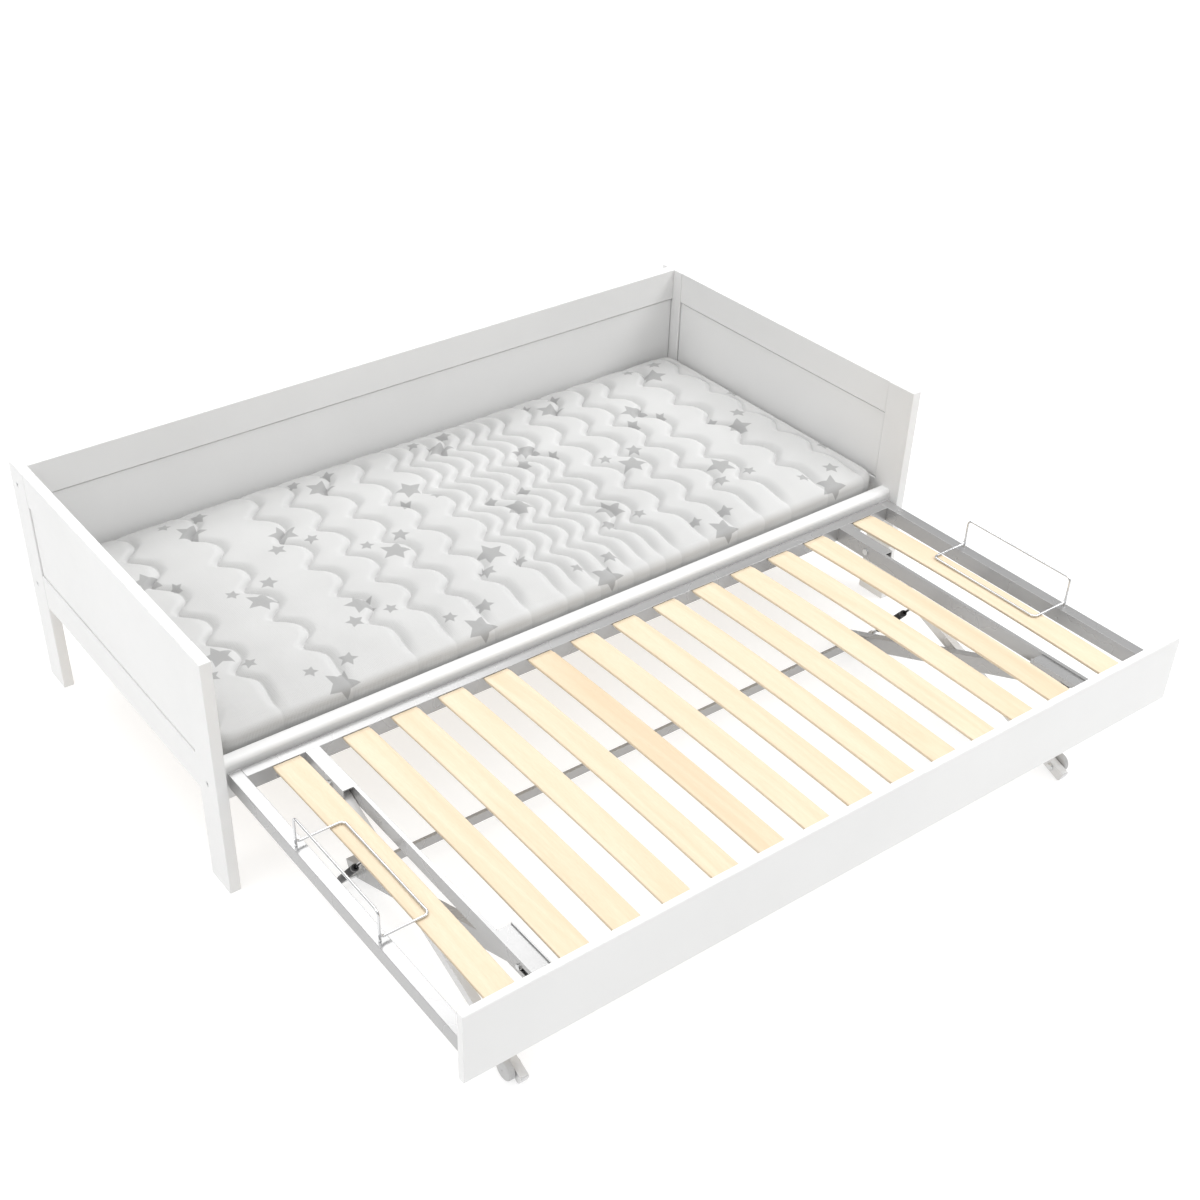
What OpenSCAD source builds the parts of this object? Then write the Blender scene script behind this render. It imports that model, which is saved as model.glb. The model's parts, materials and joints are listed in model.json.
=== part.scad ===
// Day bed with a pull-out trundle bed on a scissor lift.
// Origin: floor level, centre of the whole footprint. +X along the bed, +Y to its back, +Z up.
// Rest state: trundle pulled out in front of the bed and raised.

/* [Bed] */
// Length over the two end panels
bed_l = 2070; // [1900:10:2200]
// Depth over the posts
bed_w = 1020; // [900:10:1200]
// Height of the posts
end_h = 640; // [560:5:760]
// Post width, seen from the end
post_w = 88; // [70:1:110]
// Post thickness
post_t = 28; // [24:1:36]
// Height of the top rails
top_rail_h = 91; // [70:1:120]
// Underside of the bottom rails of the ends and the back
low_rail_z = 255; // [200:5:300]
// Height of those bottom rails
low_rail_h = 95; // [70:1:120]
// Rail thickness lost on each face against the posts
rail_step = 1; // [0:0.5:2]
// Thickness of the inset panels
panel_t = 20; // [12:1:22]
// Open shadow joint round each inset panel
shadow = 3; // [2:0.5:5]
// Back frame set in from the posts' rear face
back_inset = 26; // [10:1:40]
// Thickness of the back frame
back_t = 28; // [20:1:32]
// Front side rail set back from the posts' front face
rail_inset = 28; // [20:1:32]
// Front side rail thickness
rail_t = 31; // [25:1:36]
// Front side rail height
rail_h = 96; // [80:1:110]
// Top of the front side rail
rail_top = 341; // [330:1:350]
// Radius on its top front edge
rail_round = 12; // [4:1:14]

/* [Bed base and mattress] */
// Slats under the mattress
base_slats_n = 15; // [10:1:18]
// Width of one of them
base_slat_w = 70; // [50:5:80]
// Thickness of one of them
base_slat_t = 18; // [14:1:20]
// Mattress length
mattress_l = 1998; // [1900:2:2000]
// Mattress width
mattress_w = 896; // [850:2:898]
// Mattress thickness
mattress_t = 104; // [80:2:140]
// Corner radius of the mattress, seen from above
mattress_r = 45; // [20:5:80]

/* [Trundle] */
// How far the trundle's face stands in front of the posts
reach = 896; // [880:2:920]
// Length of the wooden front
front_l = 2000; // [1980:5:2010]
// Height of the wooden front
front_h = 180; // [140:5:190]
// Thickness of the wooden front
front_t = 18; // [15:1:22]
// Underside of the wooden front when raised
front_z = 218; // [200:1:230]
// Length over the steel frame
frame_l = 1988; // [1950:2:1990]
// Top of the steel frame when raised
frame_top = 318; // [316:1:326]
// Frame tube height
bar_h = 40; // [36:1:45]
// Frame tube width
bar_w = 30; // [25:1:32]
// Frame tube wall
wall = 2; // [1.5:0.5:3]
// Width of a sprung slat
slat_w = 70; // [50:1:75]
// Thickness of a sprung slat
slat_t = 8; // [6:1:10]
// Upward bow of a sprung slat
slat_bow = 8; // [4:1:8]
// Spacing of the inner slats
slat_pitch = 126; // [120:1:127]
// Centre of the outermost slats
slat_end_x = 868; // [866:1:872]

/* [Lift] */
// Height of the wheel axles
axle_z = 25; // [22:1:28]
// Height of the upper pivots when raised
pivot_z = 298; // [296:1:298]
// Distance between rear and front pivots when raised
span = 667; // [660:1:670]
// Rear pivots behind the posts' front face line
rear_pivot = 111; // [105:1:118]
// How far the trundle comes down
drop = 188; // [120:1:188]
// Outer arm tube, across
outer_w = 20; // [16:1:20]
// Outer arm tube, height
outer_h = 26; // [22:1:26]
// Inner arm tube, across
inner_w = 25; // [20:1:25]
// Inner arm tube, height
inner_h = 40; // [30:1:40]
// Wheel diameter is twice the axle height; this is its width
wheel_w = 17; // [12:1:18]
// Main pivot bolt
bolt_d = 10; // [8:1:12]
// Sliding pin
slide_d = 8; // [6:1:9]
// Roller on the sliding pin
roller_d = 14; // [12:1:16]
// Gas spring body
gas_d = 18; // [15:1:18]
// Gas spring length when raised, eye to eye
gas_l = 250; // [248:1:252]
// Slope of the gas spring when raised
gas_angle = 52; // [50:1:54]

/* [Hidden] */

$fn = 48;
eps = 0.01;
run = 0.05;      // radial clearance of a running fit
gap = 0.3;       // clearance between parts that move past each other

// bed
x_out = bed_l / 2;
x_in = x_out - post_t;
y_face = (reach - bed_w) / 2;         // front face of the posts
y_back = y_face + bed_w;
y_post = y_face + post_w;             // inner edge of the front posts
y_rear_post = y_back - post_w;
low_rail_top = low_rail_z + low_rail_h;
top_rail_z = end_h - top_rail_h;
tongue_t = 8;
tongue_in = 9;
slot_side = 0.2;
slot_end = 1;
y_backboard = y_back - back_inset - back_t;
y_rail = y_face + rail_inset;
y_rail_in = y_rail + rail_t;
ledge = 25;
base_z = rail_top - 79;               // top of the slat ledges
base_pitch = 130;
y_bed_mid = (y_rail_in + y_backboard) / 2;
bolt_x = 962;                         // barrel nuts
bed_bolt_d = 7;
bed_head_d = 14;
bed_head_h = 6;
nut_d = 12;
nut_l = 20;
bed_bolts_yz = [[y_rail + rail_t / 2, rail_top - 45],
    [y_backboard + back_t / 2, low_rail_z + low_rail_h / 2],
    [y_backboard + back_t / 2, end_h - 50]];

// trundle frame
fx = frame_l / 2;
y_panel = y_face - reach;             // outer face of the wooden front
y_fbar = y_panel + front_t;           // front face of the front bar
y_fin = y_fbar + bar_w;               // rear face of the front bar
y_rbar = y_face - 8;                  // front face of the rear bar
y_rend = y_rbar + bar_w;              // rear face of the rear bar
frame_bot = frame_top - bar_h;
bow_top = frame_top + slat_bow;       // highest point of a bowed slat
slat_len = y_rbar - y_fin - 4;
slat_r = (pow(slat_len / 2, 2) + pow(slat_bow, 2)) / (2 * slat_bow);
slat_half = asin(slat_len / 2 / slat_r);
slat_under = bow_top - slat_bow - slat_t;
stop_x = -985;
stop_y = [y_face - 261, y_face - 588];
stop_in = -872;
stop_h = 80;
wire = 6;
wire_bend = 12;
screw_z = frame_bot + 11;
screw_d = 7;
screw_x = [for (i = [-2 : 2]) i * 400];

// lift, left-hand side; the right-hand side is its mirror image
y_ax = y_face - rear_pivot;
y_fr = y_ax - span;
rise = pivot_z - axle_z;
arm_l = sqrt(span * span + rise * rise);
tilt = atan(rise / span);
low_tilt = asin((rise - drop) / arm_l);
slide_run = arm_l * cos(low_tilt) - span;
web_x = [-794, -785];                 // cross rail
box_x = -820;                         // outer cheek of the pivot box
box_len = 160;
sheet = 3;
outer_x = -815;                       // outer arm, outer face
inner_x = -783;                       // inner arm, outer face
inner_in = inner_x + inner_w;
track_x = -750;                       // inner cheek of the slide track
track_y = y_face - 689;
track_z = pivot_z + 13;
head_d = 18;
head_h = 4;
collar_d = 16;
wheel_d = 2 * axle_z;
front_wheel_x = -834;
rear_wheel_x = -753;
gas_x = -835;
eye_w = 10;
eye_d = 18;
gas_s = 18;                           // lower eye, along the inner arm from its axle
gas_v = -6;                           // and across it
gas_y = y_ax - gas_s * cos(tilt) + gas_v * sin(tilt);
gas_z = axle_z + gas_s * sin(tilt) + gas_v * cos(tilt);
gas_top_y = gas_y - gas_l * cos(gas_angle);
gas_top_z = gas_z + gas_l * sin(gas_angle);
gas_neck = 32;                        // lower eye to the gas spring's body
gas_body = 128;
gas_body_top = gas_neck + gas_body;
gas_cap = 10;                         // solid metal at either end of the body
rod_d = 8;
piston_d = 13.9;

paint = "#f1f1ee";
steel = "#e9eaea";
birch = "#ecd9b0";
pine = "#e3cfa2";
zinc = "#b9bcc0";
plastic = "#d9dadb";

// ---------- helpers ----------

// Box between two corners
module block(lo, hi) {
    translate(lo) cube(hi - lo);
}

// Round bar along X
module rod_x(x0, x1, y, z, d) {
    translate([x0, y, z]) rotate([0, 90, 0]) cylinder(h = x1 - x0, d = d);
}

// Side view outline, drawn as [-y, z], made solid from x0 to x1
module side_on(x0, x1) {
    translate([x1, 0, 0]) rotate([90, 0, -90]) linear_extrude(x1 - x0) children();
}

// Outline drawn along an arm from its pivot, made solid from x0 to x1
module along(y, z, angle, x0, x1) {
    side_on(x0, x1) translate([-y, z]) rotate(angle) children();
}

// Hollow rectangular tube
module tube_box(lo, hi, axis) {
    open = [axis == 0 ? -1 : wall, axis == 1 ? -1 : wall, axis == 2 ? -1 : wall];
    difference() {
        block(lo, hi);
        block(lo + open, hi - open);
    }
}

// Rectangle with round corners
module soft_rect(w, h, r) {
    translate([r, 0]) square([w - 2 * r, h]);
    translate([0, r]) square([w, h - 2 * r]);
    for (x = [r, w - r], y = [r, h - r]) translate([x, y]) circle(r);
}

module other_side() {
    mirror([1, 0, 0]) children();
}

// ---------- bed ----------

// Bores for the bed bolts through a left-hand post
module post_bolt_holes() {
    for (b = bed_bolts_yz) {
        rod_x(-x_out - 1, -x_in + 1, b[0], b[1], bed_bolt_d + 2 * gap);
        rod_x(-x_out - 1, -x_out + bed_head_h, b[0], b[1], bed_head_d + 1);
    }
}

// Groove that takes the inset panel's tongue
module panel_slot() {
    mid = (x_out + x_in) / 2;
    half = tongue_t / 2 + slot_side;
    deep = tongue_in + slot_end;
    block([-mid - half, y_post - deep, low_rail_top - deep],
        [-mid + half, y_rear_post + deep, top_rail_z + deep]);
}

module post(y) {
    difference() {
        block([-x_out, y, 0], [-x_in, y + post_w, end_h]);
        panel_slot();
        post_bolt_holes();
        translate([-(x_out + x_in) / 2, y + post_w / 2, -1]) cylinder(h = 7, d = 24);
    }
}

module end_rail(z0, z1) {
    difference() {
        block([-x_out + rail_step, y_post, z0], [-x_in - rail_step, y_rear_post, z1]);
        panel_slot();
    }
}

module end_panel() {
    mid = (x_out + x_in) / 2;
    block([-mid - panel_t / 2, y_post + shadow, low_rail_top + shadow],
        [-mid + panel_t / 2, y_rear_post - shadow, top_rail_z - shadow]);
    block([-mid - tongue_t / 2, y_post - tongue_in, low_rail_top - tongue_in],
        [-mid + tongue_t / 2, y_rear_post + tongue_in, top_rail_z + tongue_in]);
}

// Bolt and barrel nut bores at both ends of a rail that runs along the bed
module rail_bores(y, z, nut_y0, nut_y1) {
    for (s = [-1, 1]) {
        x0 = min(s * (x_in + 1), s * (bolt_x - 20));
        x1 = max(s * (x_in + 1), s * (bolt_x - 20));
        rod_x(x0, x1, y, z, bed_bolt_d + 2 * gap);
        translate([s * bolt_x, nut_y1, z]) rotate([90, 0, 0]) cylinder(h = nut_y1 - nut_y0, d = nut_d + gap);
    }
}

module back_rail(z0, z1, bolt) {
    half = tongue_t / 2 + slot_side;
    mid = y_backboard + back_t / 2;
    deep = tongue_in + slot_end;
    difference() {
        block([-x_in, y_backboard, z0], [x_in, y_backboard + back_t, z1]);
        block([-x_in - 1, mid - half, low_rail_top - deep], [x_in + 1, mid + half, top_rail_z + deep]);
        rail_bores(bolt[0], bolt[1], bolt[0] - nut_l / 2 - gap, y_backboard + back_t + 1);
    }
}

module back_board() {
    mid = y_backboard + back_t / 2;
    block([-x_in + shadow, mid - panel_t / 2, low_rail_top + shadow],
        [x_in - shadow, mid + panel_t / 2, top_rail_z - shadow]);
    block([-x_in + shadow, mid - tongue_t / 2, low_rail_top - tongue_in],
        [x_in - shadow, mid + tongue_t / 2, top_rail_z + tongue_in]);
}

// Front side rail: big round on the top front edge
module side_rail() {
    b = bed_bolts_yz[0];
    difference() {
        side_on(-x_in, x_in) translate([-y_rail_in, rail_top - rail_h]) {
            square([rail_t, rail_h - rail_round]);
            square([rail_t - rail_round, rail_h]);
            translate([rail_t - rail_round, rail_h - rail_round]) circle(rail_round);
        }
        rail_bores(b[0], b[1], b[0] - nut_l / 2 - gap, y_rail_in + 1);
    }
}

module base_slat_set() {
    for (i = [0 : base_slats_n - 1]) {
        x = (i - (base_slats_n - 1) / 2) * base_pitch;
        block([x - base_slat_w / 2, y_rail_in + 3, base_z],
            [x + base_slat_w / 2, y_backboard - 3, base_z + base_slat_t]);
    }
}

module bed_bolt(y, z) {
    difference() {
        union() {
            rod_x(-x_out + 0.5, -x_out + bed_head_h, y, z, bed_head_d);
            rod_x(-x_out + bed_head_h - eps, -bolt_x + nut_d / 2 + 6, y, z, bed_bolt_d);
        }
        rod_x(-x_out - 1, -x_out + 4, y, z, 6.4, $fn = 6);
    }
}

module barrel_nut(y, z) {
    difference() {
        translate([-bolt_x, y + nut_l / 2, z]) rotate([90, 0, 0]) cylinder(h = nut_l, d = nut_d);
        rod_x(-bolt_x - nut_d, -bolt_x + nut_d, y, z, bed_bolt_d + 2 * run);
    }
}

module mattress_body() {
    z = base_z + base_slat_t + 1;
    translate([-mattress_l / 2, y_bed_mid - mattress_w / 2, z])
        linear_extrude(mattress_t) soft_rect(mattress_l, mattress_w, mattress_r);
}

// ---------- trundle frame ----------

// One sprung slat, bowed upwards, centred on x
module slat(x) {
    translate([x, (y_rbar + y_fin) / 2, bow_top - slat_r])
        rotate([180 - slat_half, 0, 0]) rotate([0, 90, 0])
            rotate_extrude(angle = 2 * slat_half, $fn = 720)
                translate([slat_r - slat_t, -slat_w / 2]) polygon([
                    [0, 1], [1, 0], [slat_t - 2, 0], [slat_t, 2],
                    [slat_t, slat_w - 2], [slat_t - 2, slat_w], [1, slat_w], [0, slat_w - 1]]);
}

module side_bar() {
    y0 = y_fbar;
    difference() {
        tube_box([-fx, y0, frame_bot], [-fx + bar_w, y_rend, frame_top], 1);
        for (y = stop_y) {
            translate([stop_x, y, frame_top - wall - 1]) cylinder(h = wall + 2, d = wire + 2 * gap);
            rod_x(-fx + bar_w - wall - 1, -fx + bar_w + 1, y, screw_z, screw_d);
        }
    }
}

module cross_bar(y) {
    difference() {
        tube_box([-fx + bar_w, y, frame_bot], [fx - bar_w, y + bar_w, frame_top], 0);
        if (y < y_rbar) for (x = screw_x)
            translate([x, y + bar_w + 1, pivot_z]) rotate([90, 0, 0]) cylinder(h = bar_w + 2, d = 5);
    }
}

module bar_plug() {
    block([-fx, y_rend, frame_bot], [-fx + bar_w, y_rend + 2, frame_top]);
    block([-fx + wall, y_rend - 12, frame_bot + wall], [-fx + bar_w - wall, y_rend, frame_top - wall]);
}

// Long hole along Y that a roller runs in
module slide_slot(x0, x1) {
    d = roller_d + 2 * gap;
    side_on(x0, x1) translate([-y_fr, pivot_z]) {
        circle(d = d);
        translate([0, -d / 2]) square([slide_run + 1, d]);
        translate([slide_run + 1, 0]) circle(d = d);
    }
}

// Cross rail with the pivot box that the outer arm hangs in
module cross_rail() {
    y1 = y_rbar - box_len;
    difference() {
        union() {
            tube_box([web_x[0], y_fin, frame_bot], [web_x[1], y_rbar, frame_top], 1);
            block([box_x, y1, frame_bot], [box_x + sheet, y_rbar, frame_top]);
            block([box_x + sheet - eps, y1, frame_top - sheet], [web_x[0] + eps, y_rbar, frame_top]);
        }
        rod_x(box_x - 1, web_x[1] + 1, y_ax, pivot_z, bolt_d);
        slide_slot(web_x[0] - 1, web_x[1] + 1);
    }
}

// Cover and inner cheek round the inner arm's sliding end
module slide_track() {
    difference() {
        union() {
            block([web_x[1], y_fin, track_z], [track_x + eps, track_y, track_z + sheet]);
            block([track_x, y_fin, frame_bot], [track_x + sheet, track_y, frame_top]);
        }
        slide_slot(track_x - 1, track_x + sheet + 1);
    }
}

module wooden_front() {
    difference() {
        side_on(-front_l / 2, front_l / 2)
            translate([-y_fbar, front_z]) soft_rect(front_t, front_h, 4);
        for (x = screw_x)
            translate([x, y_fbar + 1, pivot_z]) rotate([90, 0, 0]) cylinder(h = 13, d = 5);
    }
}

module front_screw(x) {
    translate([x, y_fin, pivot_z]) rotate([90, 0, 0]) cylinder(h = bar_w + 11, d = 5);
    translate([x, y_fin + 3, pivot_z]) rotate([90, 0, 0]) cylinder(h = 3, d = 10);
}

module slat_seat(x) {
    for (y = [y_fin, y_rbar - 14])
        block([x - 25, y, slat_under - 3], [x + 25, y + 14, slat_under]);
}

// Quarter bend of wire in the plane of its two legs
module wire_corner(at, turn) {
    translate(at) rotate(turn) rotate_extrude(angle = 90)
        translate([wire_bend, 0]) circle(d = wire);
}

// Wire hoop: upright at the frame, foot lying inwards over the end slat
module mattress_stop() {
    z_foot = bow_top + wire / 2 + 0.2;
    z_top = frame_top + stop_h - wire_bend;
    y1 = stop_y[0];
    y0 = stop_y[1];
    x_bend = stop_in - wire_bend;
    for (y = [y0, y1]) {
        translate([stop_x, y, screw_z - 5]) cylinder(h = z_top - screw_z + 5, d = wire);
        rod_x(stop_x, x_bend, y, z_foot, wire);
    }
    translate([stop_x, y0 + wire_bend, z_top + wire_bend]) rotate([-90, 0, 0])
        cylinder(h = y1 - y0 - 2 * wire_bend, d = wire);
    translate([stop_in, y0 + wire_bend, z_foot]) rotate([-90, 0, 0])
        cylinder(h = y1 - y0 - 2 * wire_bend, d = wire);
    wire_corner([stop_x, y1 - wire_bend, z_top], [90, 0, 90]);
    wire_corner([stop_x, y0 + wire_bend, z_top], [90, 0, -90]);
    wire_corner([x_bend, y1 - wire_bend, z_foot], [0, 0, 0]);
    wire_corner([x_bend, y0 + wire_bend, z_foot], [0, 0, -90]);
}

// Grub screw that holds an upright of the hoop in the frame tube
module stop_screw(y) {
    difference() {
        rod_x(stop_x + wire / 2, -fx + bar_w + 1, y, screw_z, screw_d);
        rod_x(-fx + bar_w - 3, -fx + bar_w + 2, y, screw_z, 4, $fn = 6);
    }
}

module upper_bolt() {
    rod_x(box_x, web_x[1], y_ax, pivot_z, bolt_d);
    rod_x(box_x - head_h, box_x, y_ax, pivot_z, head_d);
    rod_x(web_x[1], web_x[1] + head_h, y_ax, pivot_z, head_d, $fn = 6);
}

// ---------- lift ----------

// Outer arm: upper rear pivot, middle pivot, front axle, blunt foot
module outer_arm() {
    difference() {
        along(y_ax, pivot_z, -tilt, outer_x, outer_x + outer_w) difference() {
            translate([-10, -outer_h / 2]) soft_foot(arm_l + 48, outer_h, 6);
            circle(d = bolt_d + 2 * run);
            translate([arm_l / 2, 0]) circle(d = bolt_d + 2 * run);
            translate([arm_l, 0]) circle(d = bolt_d);
        }
        along(y_ax, pivot_z, -tilt, outer_x + wall, outer_x + outer_w - wall)
            translate([-11, -outer_h / 2 + wall]) square([arm_l + 36, outer_h - 2 * wall]);
    }
    along(gas_top_y, gas_top_z, 0, gas_x + eye_w / 2 + 0.4, outer_x) circle(d = 14);
}

// Rectangle whose far end is rounded
module soft_foot(l, h, r) {
    square([l - r, h]);
    translate([0, r]) square([l, h - 2 * r]);
    for (y = [r, h - r]) translate([l - r, y]) circle(r);
}

// Inner arm: rear axle, middle pivot, slim sliding end
module inner_arm() {
    low = -inner_h / 2 + 3;
    high = inner_h / 2 + 3;
    slim = 8;
    difference() {
        along(y_ax, axle_z, tilt, inner_x, inner_in) difference() {
            polygon([[-18, low], [arm_l + 10, low], [arm_l + 10, slim], [arm_l - 60, slim],
                [arm_l - 100, high], [-18, high]]);
            circle(d = bolt_d + 2 * run);
            translate([arm_l / 2, 0]) circle(d = bolt_d);
            translate([arm_l, 0]) circle(d = slide_d);
            translate([gas_s, gas_v]) circle(d = slide_d);
        }
        along(y_ax, axle_z, tilt, inner_x + wall, inner_in - wall)
            translate([-19, low + wall]) square([arm_l - 86, inner_h - 2 * wall]);
    }
}

module mid_bolt() {
    y = (y_ax + y_fr) / 2;
    z = (axle_z + pivot_z) / 2;
    rod_x(outer_x - head_h, inner_in + head_h, y, z, bolt_d);
    rod_x(outer_x - gap - head_h, outer_x - gap, y, z, head_d);
    rod_x(outer_x + outer_w + gap, inner_x, y, z, collar_d);
    rod_x(inner_in, inner_in + head_h, y, z, head_d, $fn = 6);
}

// Sliding pin at the top and gas spring pin at the bottom of an inner arm
module arm_pin_pair() {
    rod_x(web_x[0] - 3, track_x + sheet + 3, y_fr, pivot_z, slide_d);
    for (x = [web_x[0] - 4, track_x + sheet + 1]) rod_x(x, x + 3, y_fr, pivot_z, slide_d + 4);
    rod_x(gas_x - eye_w / 2 - 4, inner_in, gas_y, gas_z, slide_d);
    rod_x(gas_x - eye_w / 2 - 5, gas_x - eye_w / 2 - gap, gas_y, gas_z, slide_d + 5);
    rod_x(gas_x + eye_w / 2 + gap, inner_x, gas_y, gas_z, slide_d + 5);
}

module slide_roller_pair() {
    for (x = [[web_x[0] + 0.5, web_x[1] - 0.5], [track_x - 1, track_x + sheet + 0.7]])
        difference() {
            rod_x(x[0], x[1], y_fr, pivot_z, roller_d);
            rod_x(x[0] - 1, x[1] + 1, y_fr, pivot_z, slide_d + 2 * run);
        }
}

module rear_axle() {
    w = wheel_w;
    x = rear_wheel_x;
    rod_x(inner_x - gap, x + w + gap, y_ax, axle_z, bolt_d);
    rod_x(inner_x - gap - head_h, inner_x - gap, y_ax, axle_z, head_d);
    rod_x(inner_in + gap, x - gap, y_ax, axle_z, collar_d);
    rod_x(x + w + gap, x + w + gap + head_h, y_ax, axle_z, collar_d);
}

module front_axle() {
    x = front_wheel_x;
    rod_x(x - gap, outer_x + outer_w, y_fr, axle_z, bolt_d);
    rod_x(x - gap - head_h, x - gap, y_fr, axle_z, collar_d);
    rod_x(x + wheel_w + gap, outer_x, y_fr, axle_z, collar_d);
    rod_x(outer_x + outer_w, outer_x + outer_w + head_h, y_fr, axle_z, head_d, $fn = 6);
}

// Wheel with rounded tread and a recessed face on both sides
module wheel(x, y) {
    r = wheel_d / 2;
    translate([x, y, axle_z]) rotate([0, 90, 0]) rotate_extrude($fn = 96) difference() {
        translate([bolt_d / 2 + run, 0]) difference() {
            square([r - bolt_d / 2 - run, wheel_w]);
            for (z = [0, wheel_w]) translate([5, z - 2]) square([r - bolt_d / 2 - run - 10, 4]);
        }
        for (z = [0, 1]) translate([r - 2, z * (wheel_w - 2)]) difference() {
            square(2 + eps);
            translate([0, z == 0 ? 2 : 0]) circle(2);
        }
    }
}

module gas_axis() {
    translate([gas_x, gas_y, gas_z]) rotate([90 - gas_angle, 0, 0]) children();
}

module gas_eye() {
    rotate([0, 90, 0]) translate([0, 0, -eye_w / 2]) cylinder(h = eye_w, d = eye_d);
}

// Body of the gas spring, turning on the inner arm's pin
module gas_cylinder() {
    difference() {
        gas_axis() difference() {
            union() {
                gas_eye();
                translate([0, 0, 4]) cylinder(h = gas_neck, d = 10);
                translate([0, 0, gas_neck]) cylinder(h = gas_body, d = gas_d);
            }
            translate([0, 0, gas_neck + gas_cap])
                cylinder(h = gas_body - 2 * gas_cap, d = piston_d + 2 * run);
            translate([0, 0, gas_body_top - gas_cap - 1])
                cylinder(h = gas_cap + 2, d = rod_d + 2 * run);
        }
        rod_x(gas_x - eye_w, gas_x + eye_w, gas_y, gas_z, slide_d + 2 * run);
    }
}

// Rod, piston and upper eye
module gas_rod() {
    gas_axis() {
        translate([0, 0, gas_body_top - gas_cap - 12]) cylinder(h = 8, d = piston_d);
        translate([0, 0, gas_body_top - gas_cap - 12])
            cylinder(h = gas_l - gas_body_top + gas_cap + 8, d = rod_d);
        translate([0, 0, gas_l]) gas_eye();
    }
}

// ---------- nodes ----------

module post_front_left() color(paint) post(y_face);
module post_rear_left() color(paint) post(y_rear_post);
module post_front_right() color(paint) other_side() post(y_face);
module post_rear_right() color(paint) other_side() post(y_rear_post);
module end_top_rail_left() color(paint) end_rail(top_rail_z, end_h);
module end_low_rail_left() color(paint) end_rail(low_rail_z, low_rail_top);
module end_panel_left() color(paint) end_panel();
module end_top_rail_right() color(paint) other_side() end_rail(top_rail_z, end_h);
module end_low_rail_right() color(paint) other_side() end_rail(low_rail_z, low_rail_top);
module end_panel_right() color(paint) other_side() end_panel();
module back_top_rail() color(paint) back_rail(top_rail_z, end_h, bed_bolts_yz[2]);
module back_low_rail() color(paint) back_rail(low_rail_z, low_rail_top, bed_bolts_yz[1]);
module back_panel() color(paint) back_board();
module front_side_rail() color(paint) side_rail();

module slat_ledges() color(pine) for (y = [y_rail_in, y_backboard - ledge])
    block([-x_in + 7, y, base_z - ledge], [x_in - 7, y + ledge, base_z]);

module base_slats() color(pine) base_slat_set();

module slat_webbing() color("#d8d8d4") for (y = [y_bed_mid - 300, y_bed_mid + 300])
    block([-945, y - 12, base_z - 1], [945, y + 12, base_z]);

module bed_bolts() color(zinc) for (b = bed_bolts_yz) {
    bed_bolt(b[0], b[1]);
    other_side() bed_bolt(b[0], b[1]);
}

module barrel_nuts() color(zinc) for (b = bed_bolts_yz) {
    barrel_nut(b[0], b[1]);
    other_side() barrel_nut(b[0], b[1]);
}

module post_glides() color("#8a8a88") for (s = [-1, 1], y = [y_face, y_rear_post])
    translate([s * (x_out + x_in) / 2, y + post_w / 2, 0]) cylinder(h = 6, d = 24);

module mattress() color("#f4f4f4") mattress_body();

module trundle_front() color(paint) wooden_front();
module front_screws() color(zinc) for (x = screw_x) front_screw(x);
module frame_bar_front() color(steel) cross_bar(y_fbar);
module frame_bar_rear() color(steel) cross_bar(y_rbar);
module frame_bar_left() color(steel) side_bar();
module frame_bar_right() color(steel) other_side() side_bar();

module bar_plugs() color(plastic) {
    bar_plug();
    other_side() bar_plug();
}

module cross_rail_left() color(steel) cross_rail();
module cross_rail_right() color(steel) other_side() cross_rail();

module slide_tracks() color(steel) {
    slide_track();
    other_side() slide_track();
}

module slat_end_left() color(birch) slat(-slat_end_x);
module slat_end_right() color(birch) slat(slat_end_x);
module slats_left() color(birch) for (i = [0 : 5]) slat(-slat_pitch * (i + 0.5));
module slats_right() color(birch) for (i = [0 : 5]) slat(slat_pitch * (i + 0.5));

module slat_seats() color(steel) for (s = [-1, 1]) {
    slat_seat(s * slat_end_x);
    for (i = [0 : 5]) slat_seat(s * slat_pitch * (i + 0.5));
}

module mattress_stop_left() color(steel) mattress_stop();
module mattress_stop_right() color(steel) other_side() mattress_stop();

module stop_screws() color(zinc) for (y = stop_y) {
    stop_screw(y);
    other_side() stop_screw(y);
}

module upper_pivot_bolts() color(zinc) {
    upper_bolt();
    other_side() upper_bolt();
}

module rear_axles() color(zinc) {
    rear_axle();
    other_side() rear_axle();
}

module rear_wheel_left() color(plastic) wheel(rear_wheel_x, y_ax);
module rear_wheel_right() color(plastic) other_side() wheel(rear_wheel_x, y_ax);
module inner_arm_left() color(steel) inner_arm();
module inner_arm_right() color(steel) other_side() inner_arm();

module link_bar() color(steel)
    block([inner_in, y_ax - 41, axle_z + 6], [-inner_in, y_ax - 31, axle_z + 32]);

module mid_pivot_bolts() color(zinc) {
    mid_bolt();
    other_side() mid_bolt();
}

module arm_pins() color(zinc) {
    arm_pin_pair();
    other_side() arm_pin_pair();
}

module outer_arm_left() color(steel) outer_arm();
module outer_arm_right() color(steel) other_side() outer_arm();
module front_axle_left() color(zinc) front_axle();
module front_axle_right() color(zinc) other_side() front_axle();
module front_wheel_left() color(plastic) wheel(front_wheel_x, y_fr);
module front_wheel_right() color(plastic) other_side() wheel(front_wheel_x, y_fr);
module slide_rollers_left() color(plastic) slide_roller_pair();
module slide_rollers_right() color(plastic) other_side() slide_roller_pair();
module gas_rod_left() color(zinc) gas_rod();
module gas_rod_right() color(zinc) other_side() gas_rod();
module gas_cylinder_left() color("#1d1d1f") gas_cylinder();
module gas_cylinder_right() color("#1d1d1f") translate([-2 * gas_x, 0, 0]) gas_cylinder();

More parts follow.
